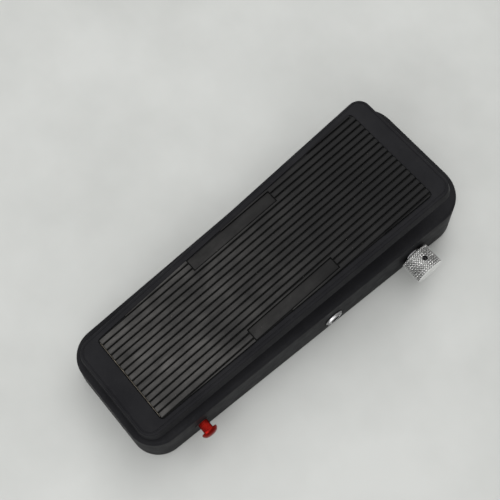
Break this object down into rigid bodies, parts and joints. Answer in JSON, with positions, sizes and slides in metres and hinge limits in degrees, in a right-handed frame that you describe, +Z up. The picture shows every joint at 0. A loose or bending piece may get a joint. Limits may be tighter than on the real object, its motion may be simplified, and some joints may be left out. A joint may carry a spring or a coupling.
{
  "type": "rocker effect pedal",
  "caption": "Guitar rocker pedal of the wah type: ribbed treadle on a cast base, with jacks, a side knob and a push button.",
  "frame": {"origin": "on the floor, on the base's centre plane, straight below the treadle's pivot axis", "axes": "+Y from heel to toe, +X to the player's right (the knob's side), +Z up"},
  "size_m": [0.113, 0.2556, 0.0684],
  "materials": {
    "cast_paint": "black textured paint on die-cast alloy",
    "plate_paint": "black painted sheet steel",
    "tread_rubber": "worn ribbed rubber",
    "pad_rubber": "plain black rubber",
    "plated_steel": "bright nickel plate",
    "zinc_steel": "zinc-plated steel",
    "dark_steel": "blackened steel",
    "pot_case": "pressed steel case",
    "knob_aluminium": "knurled bare aluminium",
    "red_anodised": "red anodised aluminium",
    "nylon": "natural nylon",
    "black_plastic": "black moulded plastic",
    "switch_case": "blue moulded plastic",
    "board": "green solder mask",
    "standoff_brass": "bare brass",
    "inductor_case": "red-brown potted bobbin",
    "capacitor_case": "dipped film case",
    "resistor_body": "lacquered body",
    "battery_case": "plain printed steel case",
    "wire_cover": "PVC insulation"
  },
  "bodies": {
    "base": {"housing": "cast_paint", "bottom_plate": "plate_paint", "rubber_feet": "pad_rubber", "input_jack_nut": "plated_steel", "input_jack_washer": "plated_steel", "output_jack_nut": "plated_steel", "output_jack_washer": "plated_steel", "toe_switch_nuts": "plated_steel", "side_control_nut": "plated_steel", "base_screws": "zinc_steel", "drive_screws": "zinc_steel", "board_screws": "zinc_steel", "sweep_pot_nut": "zinc_steel", "kick_switch_nut": "zinc_steel", "sweep_bracket": "zinc_steel", "battery_clip": "zinc_steel", "sweep_pot": "pot_case", "side_control": "pot_case", "pivot_bushings": "nylon", "rack_guide": "nylon", "input_jack": "black_plastic", "output_jack": "black_plastic", "power_inlet": "black_plastic", "power_inlet_nut": "black_plastic", "kick_switch": "black_plastic", "battery_snap": "black_plastic", "transistors": "black_plastic", "toe_switch": "switch_case", "circuit_board": "board", "board_standoffs": "standoff_brass", "inductor": "inductor_case", "capacitors": "capacitor_case", "resistors": "resistor_body", "battery": "battery_case", "hookup_wires": "wire_cover"},
    "treadle": {"treadle": "cast_paint", "tread_mat": "tread_rubber", "pivot_shaft": "zinc_steel", "shaft_clips": "dark_steel", "shaft_set_screws": "dark_steel", "heel_pads": "pad_rubber", "toe_pad": "pad_rubber", "rack_pin": "zinc_steel"},
    "rack": {"toothed_rack": "nylon"},
    "sweep": {"pinion": "nylon", "sweep_shaft": "zinc_steel"},
    "plunger": {"toe_switch_plunger": "plated_steel"},
    "knob": {"control_knob": "knob_aluminium", "knob_set_screw": "dark_steel", "control_shaft": "zinc_steel"},
    "kick": {"kick_button": "red_anodised"}
  },
  "joints": [
    {"name": "treadle_rock", "type": "hinge", "parent": "base", "child": "treadle", "pos_m": [0, 0, 0.045], "axis": [1, 0, 0], "range_deg": [-11, 0]},
    {"name": "rack_slide", "type": "slide", "parent": "base", "child": "rack", "axis": [0, 0, 1], "range_m": [-0.0097, 0]},
    {"name": "pinion_turn", "type": "hinge", "parent": "base", "child": "sweep", "pos_m": [0, 0.04093, 0.022], "axis": [1, 0, 0], "range_deg": [-101, 0]},
    {"name": "toe_switch_press", "type": "slide", "parent": "base", "child": "plunger", "axis": [0, 0, 1], "range_m": [-0.0028, 0]},
    {"name": "knob_turn", "type": "hinge", "parent": "base", "child": "knob", "pos_m": [0.04872, 0.0805, 0.018], "axis": [1, 0, 0], "range_deg": [-150, 150]},
    {"name": "kick_button_press", "type": "slide", "parent": "base", "child": "kick", "axis": [-1, 0, 0], "range_m": [0, 0.0025], "stiffness_N_per_m": 800}
  ],
  "couplings": [
    {"joint": "rack_slide", "follows": "treadle_rock", "m_per_rad": 0.0499},
    {"joint": "pinion_turn", "follows": "treadle_rock", "ratio": 9.0727},
    {"joint": "toe_switch_press", "follows": "treadle_rock", "m_per_rad": 0.014064}
  ]
}
